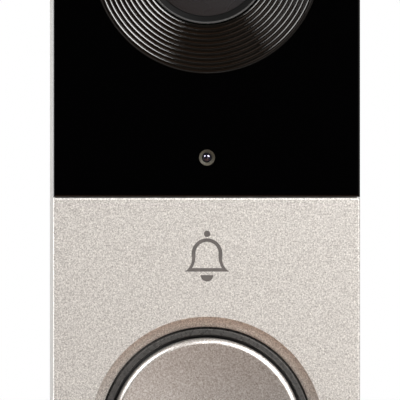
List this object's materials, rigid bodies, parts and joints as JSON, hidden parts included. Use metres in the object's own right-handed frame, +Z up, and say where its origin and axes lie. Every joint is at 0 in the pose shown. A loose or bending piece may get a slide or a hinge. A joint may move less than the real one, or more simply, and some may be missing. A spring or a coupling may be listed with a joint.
{
  "type": "video doorbell",
  "caption": "Slim upright video doorbell with a domed camera in a ridged funnel, a big round push button with a lit ring, and a hook-on wall bracket.",
  "frame": {"origin": "centre of the wall bracket's back face, on the wall", "axes": "+Y out of the bracket's back, into the wall; the front faces -Y; +Z up the long side; +X to the right as seen from the front"},
  "size_m": [0.048, 0.026, 0.128],
  "materials": {
    "satin_metal": "bead-blasted satin nickel colour",
    "black_panel": "high gloss black",
    "funnel_black": "semi-gloss black",
    "smoked_glass": "smoked, polished",
    "housing_grey": "fine-textured pale grey",
    "bracket_steel": "textured black moulding",
    "screw_steel": "plain",
    "emblem_dark": "flat dark grey",
    "lit_ring": "smoked translucent",
    "clear_plastic": "clear",
    "black_rubber": "matte",
    "silicone": "milky",
    "adhesive": "foam",
    "black_anodised": "black anodised",
    "lens_glass": "coated",
    "filter_glass": "coated, pale green",
    "black_plastic": "moulded",
    "magnet_nickel": "nickel plated",
    "coil_body": "moulded",
    "copper": "enamelled copper",
    "sensor_ceramic": "packaged chip",
    "board_green": "solder mask",
    "amber_film": "polyimide film",
    "led_white": "clear epoxy",
    "spring_steel": "bright wire",
    "tin_can": "tinned sheet",
    "chip_black": "moulded",
    "radio_can": "tinned sheet",
    "capacitor_sleeve": "shrink sleeve",
    "sheet_aluminium": "plain sheet",
    "brass": "plain"
  },
  "bodies": {
    "bracket": {"wall_bracket": "bracket_steel"},
    "housing": {"faceplate": "satin_metal", "camera_panel": "black_panel", "camera_ring": "funnel_black", "dome_retainer": "funnel_black", "dome_window": "smoked_glass", "front_frame": "housing_grey", "rear_shell": "housing_grey", "housing_screws": "screw_steel", "terminal_screws": "screw_steel", "board_screws": "screw_steel", "emblem": "emblem_dark", "light_ring": "lit_ring", "sensor_lens": "clear_plastic", "body_seal": "black_rubber", "mic_boot": "black_rubber", "speaker_surround": "black_rubber", "button_seal": "silicone", "adhesive_sheets": "adhesive", "lens_barrel": "black_anodised", "lens_elements": "lens_glass", "lens_holder": "black_plastic", "speaker_frame": "black_plastic", "speaker_magnet": "magnet_nickel", "rotor_coil": "coil_body", "image_sensor": "sensor_ceramic", "light_sensor": "sensor_ceramic", "camera_board": "board_green", "ir_board": "board_green", "button_board": "board_green", "main_board": "board_green", "flat_cables": "amber_film", "ir_leds": "led_white", "ring_leds": "led_white", "return_spring": "spring_steel", "shield_can": "tin_can", "speaker_mesh": "tin_can", "tact_switch": "tin_can", "microphone": "tin_can", "processor": "chip_black", "power_parts": "chip_black", "board_connectors": "chip_black", "reset_switch": "chip_black", "radio_module": "radio_can", "backup_capacitor": "capacitor_sleeve", "heat_spreader": "sheet_aluminium", "board_standoffs": "brass", "terminal_plates": "brass"},
    "button": {"button_cap": "satin_metal", "button_carrier": "black_plastic"},
    "plunger": {"switch_plunger": "chip_black"},
    "filter_rotor": {"rotor_arm": "black_plastic", "rotor_magnet": "magnet_nickel"},
    "filter_carrier": {"filter_carrier": "black_plastic", "day_filter_glass": "filter_glass", "night_clear_glass": "lens_glass"},
    "cone": {"speaker_cone": "black_plastic", "voice_coil": "copper"},
    "reset": {"reset_button": "black_plastic"},
    "lock_screw": {"lock_screw": "screw_steel"}
  },
  "joints": [
    {"name": "unit_swing", "type": "hinge", "parent": "bracket", "child": "housing", "pos_m": [0, -0.0039, 0.058], "axis": [-1, 0, 0], "range_deg": [0, 15]},
    {"name": "button_press", "type": "slide", "parent": "housing", "child": "button", "axis": [0, 1, 0], "range_m": [0, 0.0006], "stiffness_N_per_m": 600, "springref_m": -0.002, "deforming": ["return_spring", "button_seal"]},
    {"name": "switch_press", "type": "slide", "parent": "housing", "child": "plunger", "axis": [0, 1, 0], "range_m": [0, 0.0006]},
    {"name": "filter_slide", "type": "slide", "parent": "housing", "child": "filter_carrier", "axis": [-1, 0, 0], "range_m": [0, 0.0066]},
    {"name": "rotor_turn", "type": "hinge", "parent": "housing", "child": "filter_rotor", "pos_m": [0, -0.015, 0.0492], "axis": [0, 1, 0], "range_deg": [0, 70]},
    {"name": "cone_travel", "type": "slide", "parent": "housing", "child": "cone", "axis": [0, 0, 1], "range_m": [-0.0003, 0.0003], "stiffness_N_per_m": 1500, "deforming": ["speaker_surround"]},
    {"name": "reset_press", "type": "slide", "parent": "housing", "child": "reset", "axis": [0, -1, 0], "range_m": [0, 0.0004], "stiffness_N_per_m": 800, "springref_m": -0.001},
    {"name": "lock_drive", "type": "slide", "parent": "housing", "child": "lock_screw", "axis": [0, 0, 1], "range_m": [0, 0.002]}
  ],
  "couplings": [
    {"joint": "switch_press", "follows": "button_press", "ratio": 1},
    {"joint": "rotor_turn", "follows": "filter_slide", "rad_per_m": 185}
  ]
}
